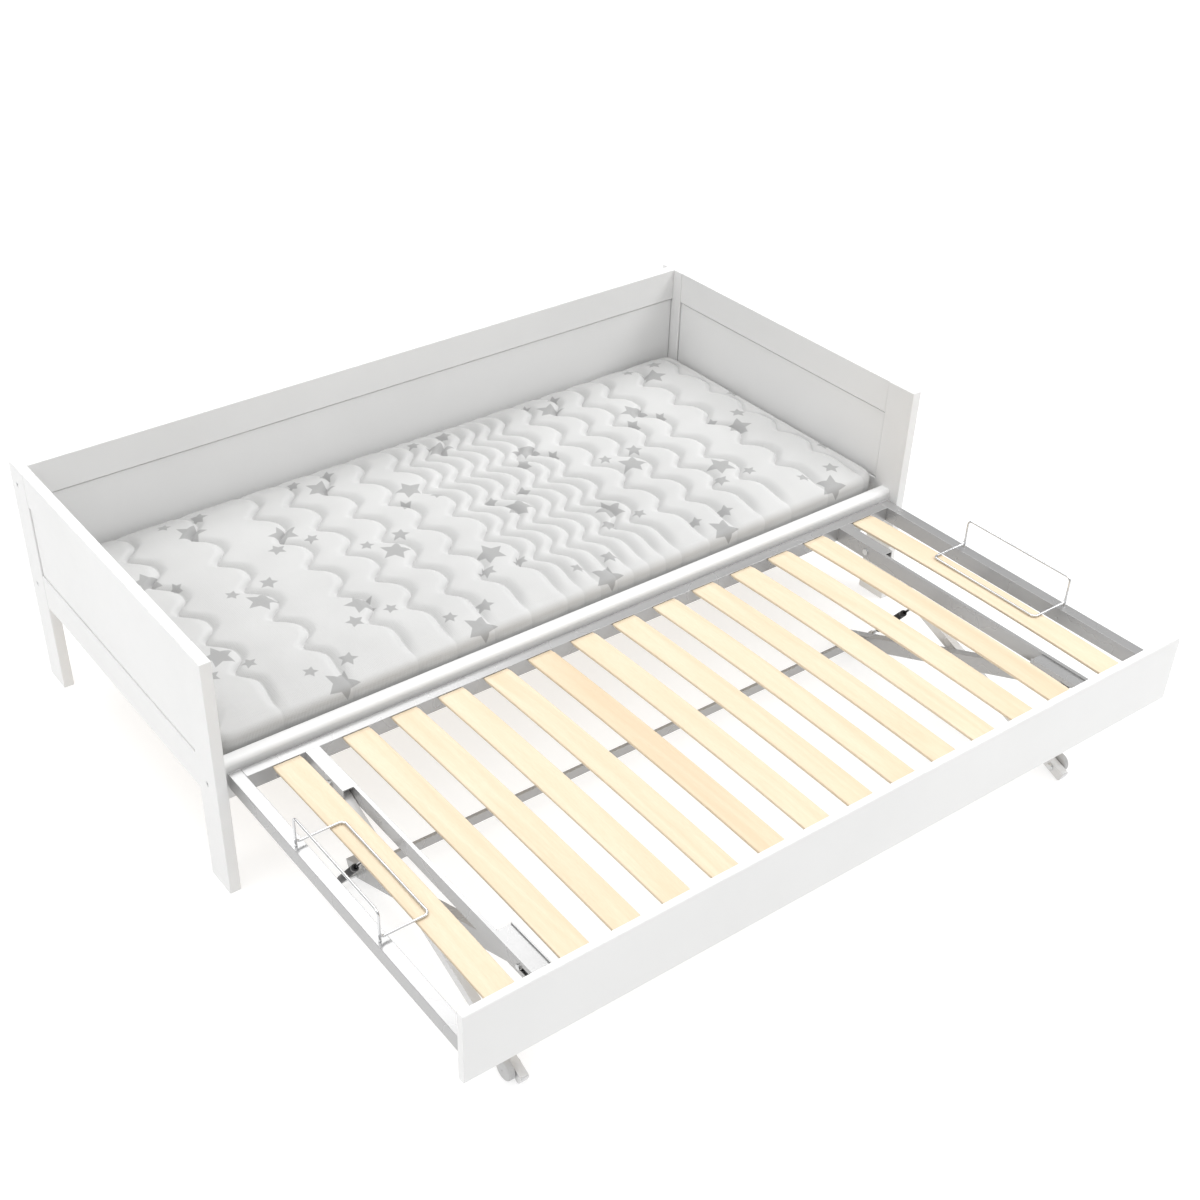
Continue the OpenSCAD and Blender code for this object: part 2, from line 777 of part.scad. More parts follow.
post_front_left();
post_rear_left();
post_front_right();
post_rear_right();
end_top_rail_left();
end_low_rail_left();
end_panel_left();
end_top_rail_right();
end_low_rail_right();
end_panel_right();
back_top_rail();
back_low_rail();
back_panel();
front_side_rail();
slat_ledges();
base_slats();
slat_webbing();
bed_bolts();
barrel_nuts();
post_glides();
mattress();
trundle_front();
front_screws();
frame_bar_front();
frame_bar_rear();
frame_bar_left();
frame_bar_right();
bar_plugs();
cross_rail_left();
cross_rail_right();
slide_tracks();
slat_end_left();
slat_end_right();
slats_left();
slats_right();
slat_seats();
mattress_stop_left();
mattress_stop_right();
stop_screws();
upper_pivot_bolts();
rear_axles();
rear_wheel_left();
rear_wheel_right();
inner_arm_left();
inner_arm_right();
link_bar();
mid_pivot_bolts();
arm_pins();
outer_arm_left();
outer_arm_right();
front_axle_left();
front_axle_right();
front_wheel_left();
front_wheel_right();
slide_rollers_left();
slide_rollers_right();
gas_rod_left();
gas_rod_right();
gas_cylinder_left();
gas_cylinder_right();
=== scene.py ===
"""Looks of the day bed with its raised trundle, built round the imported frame. Metres, +Z up."""

import json
import math

import bmesh
import bpy
import numpy as np
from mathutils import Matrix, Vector, noise

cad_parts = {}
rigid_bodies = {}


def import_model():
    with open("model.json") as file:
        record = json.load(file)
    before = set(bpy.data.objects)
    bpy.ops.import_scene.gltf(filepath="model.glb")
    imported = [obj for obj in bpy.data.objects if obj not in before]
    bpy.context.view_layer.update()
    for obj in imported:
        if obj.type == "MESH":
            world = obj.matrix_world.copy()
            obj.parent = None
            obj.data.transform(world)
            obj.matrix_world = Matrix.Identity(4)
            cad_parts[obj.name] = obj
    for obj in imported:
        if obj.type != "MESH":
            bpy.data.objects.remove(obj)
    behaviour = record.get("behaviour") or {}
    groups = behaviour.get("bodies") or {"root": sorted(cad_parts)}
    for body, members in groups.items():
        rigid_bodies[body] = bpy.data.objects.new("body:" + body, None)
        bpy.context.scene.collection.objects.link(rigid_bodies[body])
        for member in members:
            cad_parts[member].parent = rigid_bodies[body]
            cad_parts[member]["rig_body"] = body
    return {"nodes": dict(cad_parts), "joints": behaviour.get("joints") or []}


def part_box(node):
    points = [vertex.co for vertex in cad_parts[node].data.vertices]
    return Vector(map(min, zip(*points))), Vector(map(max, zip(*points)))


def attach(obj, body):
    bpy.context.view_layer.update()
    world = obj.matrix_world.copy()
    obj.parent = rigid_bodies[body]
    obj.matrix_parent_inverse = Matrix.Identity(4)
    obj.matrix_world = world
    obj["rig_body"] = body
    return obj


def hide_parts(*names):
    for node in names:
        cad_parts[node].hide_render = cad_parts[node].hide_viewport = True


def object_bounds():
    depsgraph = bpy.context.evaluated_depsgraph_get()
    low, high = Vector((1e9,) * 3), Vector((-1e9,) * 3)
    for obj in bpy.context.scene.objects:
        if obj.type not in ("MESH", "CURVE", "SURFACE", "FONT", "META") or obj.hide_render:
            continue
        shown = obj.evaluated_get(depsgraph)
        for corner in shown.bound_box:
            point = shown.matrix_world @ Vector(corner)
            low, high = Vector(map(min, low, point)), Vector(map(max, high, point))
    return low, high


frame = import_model()
cad_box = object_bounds()


# ---------- node trees ----------

class Shader:
    """A material under construction: short calls add nodes and return their output sockets."""

    def __init__(self, name, roughness=0.5, metallic=0.0, specular=0.5, coat=0.0, sheen=0.0):
        self.material = bpy.data.materials.new(name)
        self.material.use_nodes = True
        self.nodes = self.material.node_tree.nodes
        self.links = self.material.node_tree.links
        self.surface = self.nodes["Principled BSDF"]
        self.set("Roughness", roughness)
        self.set("Metallic", metallic)
        self.set("Specular IOR Level", specular)
        self.set("Coat Weight", coat)
        self.set("Sheen Weight", sheen)
        self.place = self.nodes.new("ShaderNodeTexCoord").outputs["Object"]

    def set(self, socket, value):
        self.surface.inputs[socket].default_value = value

    def feed(self, value, socket):
        """Links a socket, or sets a plain number or vector."""
        if isinstance(value, bpy.types.NodeSocket):
            self.links.new(value, socket)
        else:
            socket.default_value = value

    def stretch(self, scale, place=None):
        node = self.nodes.new("ShaderNodeVectorMath")
        node.operation = "MULTIPLY"
        self.feed(place or self.place, node.inputs[0])
        node.inputs[1].default_value = scale
        return node.outputs[0]

    def noise(self, scale, detail=3.0, place=None, rough=0.5, distortion=0.0):
        node = self.nodes.new("ShaderNodeTexNoise")
        self.feed(place or self.place, node.inputs["Vector"])
        node.inputs["Scale"].default_value = scale
        node.inputs["Detail"].default_value = detail
        node.inputs["Roughness"].default_value = rough
        node.inputs["Distortion"].default_value = distortion
        return node.outputs["Fac"]

    def math(self, operation, a, b=0.0):
        node = self.nodes.new("ShaderNodeMath")
        node.operation = operation
        self.feed(a, node.inputs[0])
        self.feed(b, node.inputs[1])
        return node.outputs[0]

    def span(self, value, low, high, to_low=0.0, to_high=1.0):
        """Maps low..high onto to_low..to_high and stops at both ends."""
        node = self.nodes.new("ShaderNodeMapRange")
        for k, v in enumerate((value, low, high, to_low, to_high)):
            self.feed(v, node.inputs[k])
        return node.outputs[0]

    def split(self, place=None):
        node = self.nodes.new("ShaderNodeSeparateXYZ")
        self.feed(place or self.place, node.inputs[0])
        return node.outputs

    def mix(self, amount, first, second):
        node = self.nodes.new("ShaderNodeMix")
        node.data_type = "RGBA"
        self.feed(amount, node.inputs[0])
        for value, socket in ((first, node.inputs[6]), (second, node.inputs[7])):
            if isinstance(value, tuple):
                value = (*value, 1.0)
            self.feed(value, socket)
        return node.outputs[2]

    def color(self, value):
        self.feed(value, self.surface.inputs["Base Color"])

    def roughness(self, value):
        self.feed(value, self.surface.inputs["Roughness"])

    def bump(self, height, depth, strength=1.0):
        """Adds relief of that depth in metres, on top of any relief added before."""
        node = self.nodes.new("ShaderNodeBump")
        node.inputs["Strength"].default_value = strength
        node.inputs["Distance"].default_value = depth
        self.feed(height, node.inputs["Height"])
        before = self.surface.inputs["Normal"]
        if before.is_linked:
            self.links.new(before.links[0].from_socket, node.inputs["Normal"])
        self.links.new(node.outputs[0], before)


AXIS_STRETCH = {"x": (0.06, 1, 1), "y": (1, 0.06, 1), "z": (1, 1, 0.06)}


def lacquer(name, grain, tone=1.0):
    """White satin lacquer: a faint brushed-out grain and a slight orange peel."""
    s = Shader(name, roughness=0.46, specular=0.34, coat=0.03)
    along = s.stretch(AXIS_STRETCH[grain])
    fibres = s.noise(260, 4, along, 0.6)
    cloud = s.noise(2.2, 2)
    low = tuple(tone * v for v in (0.785, 0.785, 0.78))
    high = tuple(tone * v for v in (0.815, 0.815, 0.81))
    s.color(s.mix(s.span(cloud, 0.35, 0.65), low, high))
    s.roughness(s.span(s.noise(30, 2), 0.3, 0.7, 0.42, 0.52))
    s.bump(fibres, 0.00005, 0.5)
    s.bump(s.noise(420, 1), 0.00003, 0.5)
    return s.material


def steel_paint(name, low, high, metallic):
    """Light grey-white powder coat: fine even peel, a little gloss."""
    s = Shader(name, roughness=0.27, metallic=metallic, specular=0.5)
    s.color(s.mix(s.noise(3, 2), (low, low, low), (high, high, high)))
    s.roughness(s.span(s.noise(6, 2), 0.3, 0.7, 0.24, 0.29))
    s.bump(s.noise(260, 1), 0.000003, 0.4)
    return s.material


def planed_wood(name, light, dark, streak, grain="y", plies=None):
    """Wood with growth rings, fine fibres, pores and now and then a darker fleck."""
    s = Shader(name, roughness=0.5, specular=0.35)
    along = s.stretch(AXIS_STRETCH[grain])
    slow = s.stretch(tuple(0.35 * v for v in AXIS_STRETCH[grain]))
    rings = s.noise(26, 3, along, 0.55, 1.4)
    broad = s.noise(14, 2, slow, 0.5, 0.6)
    fibre = s.noise(700, 4, along, 0.65)
    pore = s.span(s.noise(1300, 2, along), 0.62, 0.72)
    body = s.mix(s.span(rings, 0.36, 0.66), light, dark)
    body = s.mix(s.span(broad, 0.56, 0.78, 0, 0.55), body, streak)
    body = s.mix(s.span(fibre, 0.3, 0.8, 0, 0.34), body, streak)
    body = s.mix(s.math("MULTIPLY", pore, 0.16), body, tuple(0.6 * v for v in streak))
    if plies:
        body = ply_lines(s, body, streak, plies)
    s.color(body)
    s.roughness(s.span(fibre, 0.3, 0.7, 0.42, 0.58))
    s.bump(fibre, 0.00008, 0.5)
    s.bump(pore, 0.00006, 0.3)
    return s.material


def ply_lines(s, body, streak, plies):
    """Glue lines along the sawn edges of a bowed, laminated slat."""
    _, y, z = s.split()
    off = s.math("SUBTRACT", y, plies["middle"])
    sag = s.math("MULTIPLY", s.math("MULTIPLY", off, off), 0.5 / plies["radius"])
    depth = s.math("SUBTRACT", plies["top"], s.math("ADD", z, sag))
    wave = s.math("SINE", s.math("MULTIPLY", depth, 2 * math.pi / plies["ply"]))
    line = s.span(wave, 0.72, 0.95)
    facing = s.split(s.nodes.new("ShaderNodeNewGeometry").outputs["Normal"])[0]
    edge = s.span(s.math("ABSOLUTE", facing), 0.8, 0.95)
    amount = s.math("MULTIPLY", s.math("MULTIPLY", line, edge), 0.45)
    return s.mix(amount, body, tuple(0.55 * v for v in streak))


def zinc():
    """Zinc-plated steel: a fine, slightly cloudy crystal."""
    s = Shader("zinc_plate", roughness=0.34, metallic=1.0)
    s.color(s.mix(s.noise(90, 3), (0.60, 0.61, 0.63), (0.72, 0.72, 0.70)))
    s.roughness(s.span(s.noise(240, 2), 0.3, 0.7, 0.26, 0.44))
    s.bump(s.noise(1500, 2), 0.00003, 0.5)
    return s.material


def bright_wire():
    """Plated wire with draw marks along it."""
    s = Shader("bright_wire", roughness=0.2, metallic=0.9, specular=0.6)
    s.color(s.mix(s.noise(40, 2), (0.68, 0.69, 0.70), (0.74, 0.74, 0.75)))
    s.roughness(s.span(s.noise(500, 2, s.stretch((1, 0.05, 1))), 0.3, 0.7, 0.14, 0.28))
    s.bump(s.noise(1400, 2), 0.00002, 0.4)
    return s.material


def polished_rod():
    """Ground and chromed piston rod."""
    s = Shader("polished_rod", roughness=0.12, metallic=1.0)
    s.color(s.mix(s.noise(60, 2), (0.74, 0.75, 0.77), (0.82, 0.82, 0.83)))
    s.roughness(s.span(s.noise(900, 2), 0.3, 0.7, 0.08, 0.2))
    s.bump(s.noise(2500, 1), 0.000008, 0.4)
    return s.material


def black_paint():
    """Black paint of the gas spring tubes."""
    s = Shader("black_cylinder", roughness=0.34, specular=0.3, coat=0.08)
    s.color(s.mix(s.noise(50, 3), (0.016, 0.016, 0.018), (0.03, 0.03, 0.032)))
    s.roughness(s.span(s.noise(120, 2), 0.3, 0.7, 0.28, 0.44))
    s.bump(s.noise(1100, 2), 0.00004, 0.5)
    return s.material


def moulded(name, low, high, rough=0.5):
    """Moulded nylon: a fine spark-eroded skin."""
    s = Shader(name, roughness=rough, specular=0.4)
    s.color(s.mix(s.noise(25, 3), low, high))
    s.roughness(s.span(s.noise(200, 2), 0.3, 0.7, rough - 0.08, rough + 0.08))
    s.bump(s.noise(2200, 2), 0.00005, 0.6)
    return s.material


def woven_tape():
    """Flat woven webbing between the base slats."""
    s = Shader("woven_tape", roughness=0.85, specular=0.2, sheen=0.2)
    x, y, _ = s.split()
    weft = s.math("SINE", s.math("MULTIPLY", x, 2 * math.pi / 0.0022))
    warp = s.math("SINE", s.math("MULTIPLY", y, 2 * math.pi / 0.0016))
    weave = s.span(s.math("MULTIPLY", weft, warp), -1, 1)
    s.color(s.mix(weave, (0.62, 0.62, 0.6), (0.8, 0.8, 0.78)))
    s.bump(weave, 0.0003)
    return s.material


def knit_cover():
    """White knit: rows of small stitches, softly mottled, with a pale grey printed star motif, and
    painted shade and painted highlight on the flanks of the quilting.

    The "cover" attribute holds the flat cloth position (u, v) and the distance to the next seam.
    """
    s = Shader("knit_cover", roughness=0.8, specular=0.22, sheen=0.25)
    at = s.nodes.new("ShaderNodeAttribute")
    at.attribute_name = "cover"
    u, v, away = s.split(at.outputs["Vector"])
    rib = s.math("SINE", s.math("MULTIPLY", u, 2 * math.pi / 0.0035))
    zigzag = s.math("PINGPONG", v, 0.0024)
    stitch = s.math("ADD", s.math("MULTIPLY", u, 0.55), s.math("MULTIPLY", zigzag, 1.2))
    loop = s.math("SINE", s.math("MULTIPLY", stitch, 2 * math.pi / 0.0036))
    knit = s.math("ADD", s.math("MULTIPLY", rib, 0.5), s.math("MULTIPLY", loop, 0.5))
    cloud = s.noise(5, 3)
    cloth = s.mix(s.span(cloud, 0.3, 0.7), (0.52, 0.52, 0.515), (0.56, 0.56, 0.555))
    cloth = s.mix(s.span(knit, -0.9, 0.2, 0.22, 0), cloth, (0.36, 0.36, 0.36))
    thread = s.span(away, 0.0006, 0.0020, 0.16, 0)
    cloth = s.mix(thread, cloth, (0.40, 0.40, 0.40))
    # Painted shade and painted highlight: flanks that face left and back are painted darker, those
    # that face right and front painted lighter, from their normals.
    nx, ny, nz = s.split(s.nodes.new("ShaderNodeTexCoord").outputs["Normal"])
    sideways = s.math("SUBTRACT", s.math("MULTIPLY", nx, 0.8), s.math("MULTIPLY", ny, 0.5))
    painted_light_lean = s.math("MULTIPLY", nz, sideways)
    cloth = s.mix(s.span(painted_light_lean, 0, -0.7, 0, 0.34), cloth, (0.22, 0.22, 0.22))
    cloth = s.mix(s.span(painted_light_lean, 0, 0.7, 0, 0.32), cloth, (0.92, 0.92, 0.92))
    ink = star_print(s, u, v)
    s.color(s.mix(s.math("MULTIPLY", ink, 0.52), cloth, (0.16, 0.16, 0.16)))
    s.bump(s.span(knit, -1, 1), 0.0005, 0.7)
    s.bump(s.noise(160, 3), 0.0004, 0.35)
    return s.material


def star_print(s, u, v):
    """Ink mask: a star with two small companions, on two staggered square lattices."""
    fifth = math.pi / 5
    inner = 0.5          # radius of the notches, as a share of the points' radius
    soft = 0.0006        # half width of the ink's edge
    slope = math.atan(inner * math.sin(fifth) / (1 - inner * math.cos(fifth)))
    total = None
    for shift, turn in ((0.0, 1), (0.5, -1)):
        cell = []
        for value, origin in ((u, PRINT_AT[0]), (v, PRINT_AT[1])):
            steps = s.math("DIVIDE", s.math("SUBTRACT", value, origin), PRINT_PITCH)
            steps = s.math("ADD", steps, PRINT_CELLS + shift)
            share = s.math("SUBTRACT", s.math("FRACT", steps), 0.5)
            cell.append(s.math("MULTIPLY", share, turn * PRINT_PITCH))
        for dx, dy, size in PRINT_STARS:
            px = s.math("SUBTRACT", cell[0], dx)
            py = s.math("SUBTRACT", cell[1], dy)
            squares = s.math("ADD", s.math("MULTIPLY", px, px), s.math("MULTIPLY", py, py))
            far = s.math("SQRT", squares)
            folded = s.math("PINGPONG", s.math("ARCTAN2", px, py), fifth)
            reach = s.math("MULTIPLY", far, s.math("SINE", s.math("ADD", folded, slope)))
            edge = size * math.sin(slope)
            mark = s.span(reach, edge - soft, edge + soft, 1, 0)
            total = mark if total is None else s.math("MAXIMUM", total, mark)
    return total


# ---------- geometry helpers ----------

HARD_EDGE = math.radians(35)
SMOOTH_BELOW = math.radians(40)
WELD = 1e-7


def piece(name, bm, material, body, replaces=()):
    """Turns a bmesh into an object that rides on a body and stands for CAD nodes."""
    bmesh.ops.recalc_face_normals(bm, faces=bm.faces)
    mesh = bpy.data.meshes.new(name)
    bm.to_mesh(mesh)
    bm.free()
    mesh.polygons.foreach_set("use_smooth", [True] * len(mesh.polygons))
    obj = bpy.data.objects.new(name, mesh)
    bpy.context.scene.collection.objects.link(obj)
    mesh.materials.append(material)
    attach(obj, body)
    if replaces:
        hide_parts(*replaces)
    return obj


def even_normals(obj):
    """Keeps wide faces flat and lets only the rounded edges turn the light."""
    modifier = obj.modifiers.new("even", "WEIGHTED_NORMAL")
    modifier.keep_sharp = True
    modifier.weight = 100
    graph = bpy.context.evaluated_depsgraph_get()
    graph.update()
    done = bpy.data.meshes.new_from_object(obj.evaluated_get(graph))
    obj.modifiers.clear()
    old = obj.data
    obj.data = done
    bpy.data.meshes.remove(old)


def body_of(node):
    return frame["nodes"][node]["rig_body"]


def softened(node, material, width, shortest=0.012):
    """The same shape as a CAD node, with its long hard edges rounded over."""
    bm = bmesh.new()
    bm.from_mesh(frame["nodes"][node].data)
    bmesh.ops.remove_doubles(bm, verts=bm.verts, dist=2e-6)
    bmesh.ops.dissolve_limit(bm, angle_limit=math.radians(0.05), verts=bm.verts, edges=bm.edges)
    hard = [e for e in bm.edges if len(e.link_faces) == 2 and e.calc_length() > shortest
            and e.calc_face_angle(0) > HARD_EDGE]
    bmesh.ops.bevel(bm, geom=hard, offset=width, segments=3, profile=0.5, affect="EDGES",
                    clamp_overlap=True)
    for edge in bm.edges:
        if len(edge.link_faces) == 2:
            edge.smooth = edge.calc_face_angle(0) < SMOOTH_BELOW
    even_normals(piece(node + ".round", bm, material, body_of(node), [node]))


def ring_points(centre, side, other, radius, count):
    """Points of a circle, given two unit vectors in its plane."""
    turns = (2 * math.pi * k / count for k in range(count))
    return [centre + radius * (math.cos(a) * side + math.sin(a) * other) for a in turns]


def sweep(bm, path, radius, sides=20, closed=False):
    """A round tube along a list of points."""
    count = len(path)
    rings = []
    side = None
    for i, p in enumerate(path):
        a = path[(i - 1) % count] if closed or i else path[0]
        b = path[(i + 1) % count] if closed or i < count - 1 else path[-1]
        along = (b - a).normalized()
        if side is None:
            side = along.orthogonal().normalized()
        side = (side - along * side.dot(along)).normalized()
        circle = ring_points(p, side, along.cross(side), radius, sides)
        rings.append([bm.verts.new(q) for q in circle])
    for i in range(count if closed else count - 1):
        first, second = rings[i], rings[(i + 1) % count]
        turn = 0
        if closed and i == count - 1:
            turn = min(range(sides), key=lambda k: (second[k].co - first[0].co).length)
        for k in range(sides):
            n = (k + 1) % sides
            far, near = second[(n + turn) % sides], second[(k + turn) % sides]
            bm.faces.new((first[k], first[n], far, near))
    if not closed:
        bm.faces.new(rings[0][::-1])
        bm.faces.new(rings[-1])


def lathe(bm, outline, start, axis, segments=64):
    """Turns an outline of (along, radius) points about an axis through start."""
    axis = Vector(axis).normalized()
    side = axis.orthogonal().normalized()
    other = axis.cross(side)
    rings = []
    for along, radius in outline:
        if radius < 1e-6:
            rings.append([bm.verts.new(start + along * axis)])
            continue
        circle = ring_points(start + along * axis, side, other, radius, segments)
        rings.append([bm.verts.new(p) for p in circle])
    for first, second in zip(rings, rings[1:]):
        for k in range(segments):
            n = (k + 1) % segments
            corners = ((first, k), (first, n), (second, n), (second, k))
            unique = list(dict.fromkeys(ring[i % len(ring)] for ring, i in corners))
            if len(unique) > 2:
                bm.faces.new(unique)


def rounded(points, radius, steps=5, closed=False):
    """An outline or path with its corners turned into arcs."""
    out = []
    count = len(points)
    for i, p in enumerate(points):
        if not closed and i in (0, count - 1):
            out.append(p.copy())
            continue
        a = points[i - 1] - p
        b = points[(i + 1) % count] - p
        half = a.angle(b) / 2
        reach = min(radius / math.tan(half), 0.49 * a.length, 0.49 * b.length)
        r = reach * math.tan(half)
        middle = p + (a.normalized() + b.normalized()).normalized() * r / math.sin(half)
        first = p + a.normalized() * reach - middle
        last = p + b.normalized() * reach - middle
        for k in range(steps + 1):
            out.append(middle + r * first.normalized().slerp(last.normalized(), k / steps))
    return out


# ---------- mattress ----------

QUILT_ZONES = ((2, 0.176), (4, 0.107), (7, 0.051), (4, 0.0935), (2, 0.131))   # channels, width
QUILT_START = 0.175          # first seam from the left-hand end
WAVE_LENGTH = 0.143
WAVE_HEIGHT = 0.023
WAVE_PEAK = 0.258            # y of one crest
COLUMN = 0.0055              # widest grid column
FLANK = 0.026                # a channel's rise, from its seam to its flat middle
PUFF = 0.0155                # height of a wide channel
BORDER = 0.055               # the relief fades over this distance from the edge
PRINT_PITCH = 0.377
PRINT_AT = (-0.289, 0.425)
PRINT_CELLS = 200            # whole cells added so that every count is above zero
# Each star: x, y, radius.
PRINT_STARS = ((0.0, 0.022, 0.042), (-0.050, -0.036, 0.025), (0.046, -0.040, 0.020))


def seam_lines(low, high, end):
    """Mean x of every seam, with the two ends of the grid first and last."""
    x = end + QUILT_START
    lines = [low, x]
    for count, width in QUILT_ZONES:
        for _ in range(count):
            x += width
            lines.append(x)
    return lines + [high]


def wave(y, front):
    """Sideways run of a seam: broad crests, sharper troughs, dying out at the front edge."""
    phase = 2 * math.pi * (y - WAVE_PEAK) / WAVE_LENGTH
    fade = np.clip((y - front - 0.03) / 0.15, 0.12, 1)
    return WAVE_HEIGHT * fade * (np.cos(phase) - 0.2 * np.cos(2 * phase))


def quilt_columns(lines, ys, front):
    """Grid columns between wavy seams: their x along ys, their relief, and how far from a seam."""
    x0, x1 = lines[0], lines[-1]
    curves = [np.full(len(ys), x0)]
    for k, x in enumerate(lines[1:-1]):
        share = 0.7 if k == len(lines) - 3 else 1.0     # the last seam is calmer
        curves.append(x + share * wave(ys, front))
    curves.append(np.full(len(ys), x1))
    xs, puff, away = [], [], []
    last = len(lines) - 2
    for k in range(last + 1):
        width = lines[k + 1] - lines[k]
        steps = max(10, int(width / COLUMN))
        for i in range(steps if k < last else steps + 1):
            t = i / steps
            t = 0.6 * (0.5 - 0.5 * math.cos(math.pi * t)) + 0.4 * t     # closer near the seams
            xs.append((1 - t) * curves[k] + t * curves[k + 1])
            phase = 0.5 + 0.5 * t if k == 0 else 0.5 * t if k == last else t
            gap = (1 - t if k == 0 else t if k == last else min(t, 1 - t)) * width
            flank = math.sin(math.pi / 2 * min(1, gap / min(FLANK, width / 2))) ** 0.85
            rise = PUFF * min(1, (width / 0.09) ** 0.4)
            puff.append(rise * (0.8 * flank + 0.2 * max(0, math.sin(math.pi * phase))))
            away.append(gap)
    return np.array(xs), np.array(puff), np.array(away)


def side_stations(edge, height):
    """Steps down the side: reach outwards, drop, sideways share, upward share, cloth length."""
    stations = []
    quarter = edge * math.pi / 2
    for k in range(1, 8):
        a = k / 7 * math.pi / 2
        stations.append((edge * math.sin(a), edge * (1 - math.cos(a)), math.sin(a), math.cos(a),
                         edge * a))
    for k in range(1, 13):
        down = edge + (height - 2 * edge) * k / 12
        stations.append((edge, down, 1, 0, quarter + down - edge))
    for k in range(1, 7):
        a = k / 6 * math.pi / 2
        stations.append((edge * math.cos(a), height - edge + edge * math.sin(a), math.cos(a),
                         -math.sin(a), quarter + height - 2 * edge + edge * a))
    return stations


def mattress(material):
    """Quilted foam mattress: puffed channels on top, rolled edges, soft sides, flat underneath."""
    low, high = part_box("mattress")
    inset, edge, corner = 0.005, 0.020, 0.048
    rows, crown, under_gap = 184, 0.003, 0.02
    x0, x1 = low.x + inset + edge, high.x - inset - edge
    y0, y1 = low.y + inset + edge, high.y - inset - edge
    box = (x0, x1, y0, y1)
    top, bottom = high.z - 0.008, low.z + 0.001
    height = top - bottom
    ys = np.linspace(y0, y1, rows + 1)
    xs, puff, away = quilt_columns(seam_lines(x0, x1, low.x), ys, y0)
    columns = len(xs)
    X, Y = round_corners(xs, np.broadcast_to(ys, xs.shape), box, corner - edge)
    border = np.minimum(np.minimum(X - x0, x1 - X), np.minimum(Y - y0, y1 - Y))
    relief = puff[:, None] * (0.25 + 0.75 * np.sin(math.pi / 2 * np.clip(border / BORDER, 0, 1)))
    bm = bmesh.new()
    cover = []

    def add(x, y, z, u, v, gap):
        cover.append((u, v, gap))
        return bm.verts.new((x, y, z))

    grid = []
    for i in range(columns):
        column = []
        for j in range(rows + 1):
            x, y = X[i, j], Y[i, j]
            dome = 1 - ((y - (y0 + y1) / 2) / ((y1 - y0) / 2)) ** 2
            swell = noise.noise((3 * x, 3 * y, 0.5)) * 0.0022
            swell += noise.noise((14 * x, 14 * y, 4.5)) * 0.0007
            column.append(add(x, y, top + relief[i, j] + crown * dome + swell, x, y, away[i]))
        grid.append(column)
    for i in range(columns - 1):
        for j in range(rows):
            bm.faces.new((grid[i][j], grid[i + 1][j], grid[i + 1][j + 1], grid[i][j + 1]))

    rim = [(i, 0) for i in range(columns)]
    rim += [(columns - 1, j) for j in range(1, rows + 1)]
    rim += [(i, rows) for i in range(columns - 2, -1, -1)]
    rim += [(0, j) for j in range(rows - 1, 0, -1)]
    out = [outward(X[i, j], Y[i, j], box, corner - edge) for i, j in rim]
    rings = [[grid[i][j] for i, j in rim]]
    for reach, down, level, upward, length in side_stations(edge, height):
        ring = []
        belly = math.sin(math.pi * down / height) ** 0.7
        for (i, j), n in zip(rim, out):
            swell = relief[i, j] * (0.55 * belly * level + max(0.0, upward))
            sag = noise.noise((5 * X[i, j], 5 * Y[i, j], 9 + 8 * down)) * 0.0012 * level
            x = X[i, j] + n[0] * (reach + swell * level + sag)
            y = Y[i, j] + n[1] * (reach + swell * level + sag)
            z = top - down + swell * max(0.0, upward)
            u, v = X[i, j] + n[0] * length, Y[i, j] + n[1] * length
            ring.append(add(x, y, z, u, v, away[i]))
        rings.append(ring)
    for first, second in zip(rings, rings[1:]):
        for k in range(len(rim)):
            n = (k + 1) % len(rim)
            bm.faces.new((first[k], second[k], second[n], first[n]))

    under = dict(zip(rim, rings[-1]))
    for i in range(columns):
        for j in range(rows + 1):
            if (i, j) not in under:
                x, y = X[i, j], Y[i, j]
                under[(i, j)] = add(x, y, bottom, x, y, under_gap)
    for i in range(columns - 1):
        for j in range(rows):
            corners = ((i, j), (i, j + 1), (i + 1, j + 1), (i + 1, j))
            bm.faces.new([under[c] for c in corners])
    obj = piece("quilted_mattress", bm, material, "bed", ["mattress"])
    layer = obj.data.attributes.new("cover", "FLOAT_VECTOR", "POINT")
    layer.data.foreach_set("vector", np.array(cover, np.float32).ravel())


def corner_centre(x, y, box, r):
    """Centre of the corner arc that a point belongs to, or None along the straight sides."""
    x0, x1, y0, y1 = box
    cx = x0 + r if x < x0 + r else x1 - r if x > x1 - r else None
    cy = y0 + r if y < y0 + r else y1 - r if y > y1 - r else None
    return None if cx is None or cy is None else (cx, cy)


def round_corners(X, Y, box, r):
    """Presses the four corners of a rectangular grid into arcs of radius r."""
    X, Y = X.copy(), Y.copy()
    for i in range(X.shape[0]):
        for j in range(X.shape[1]):
            centre = corner_centre(X[i, j], Y[i, j], box, r)
            if centre:
                dx, dy = X[i, j] - centre[0], Y[i, j] - centre[1]
                far = math.hypot(dx, dy)
                if far > 0:
                    share = max(abs(dx), abs(dy)) / far
                    X[i, j] = centre[0] + dx * share
                    Y[i, j] = centre[1] + dy * share
    return X, Y


def outward(x, y, box, r):
    """Outward direction at a point of the rim."""
    centre = corner_centre(x, y, box, r)
    if centre:
        far = math.hypot(x - centre[0], y - centre[1])
        if far > 1e-9:
            return ((x - centre[0]) / far, (y - centre[1]) / far)
    x0, x1, y0, y1 = box
    gaps = {(-1, 0): x - x0, (1, 0): x1 - x, (0, -1): y - y0, (0, 1): y1 - y}
    return min(gaps, key=lambda k: gaps[k])


# ---------- trundle pieces ----------

SLAT_THICK, SLAT_WIDE = 0.008, 0.070


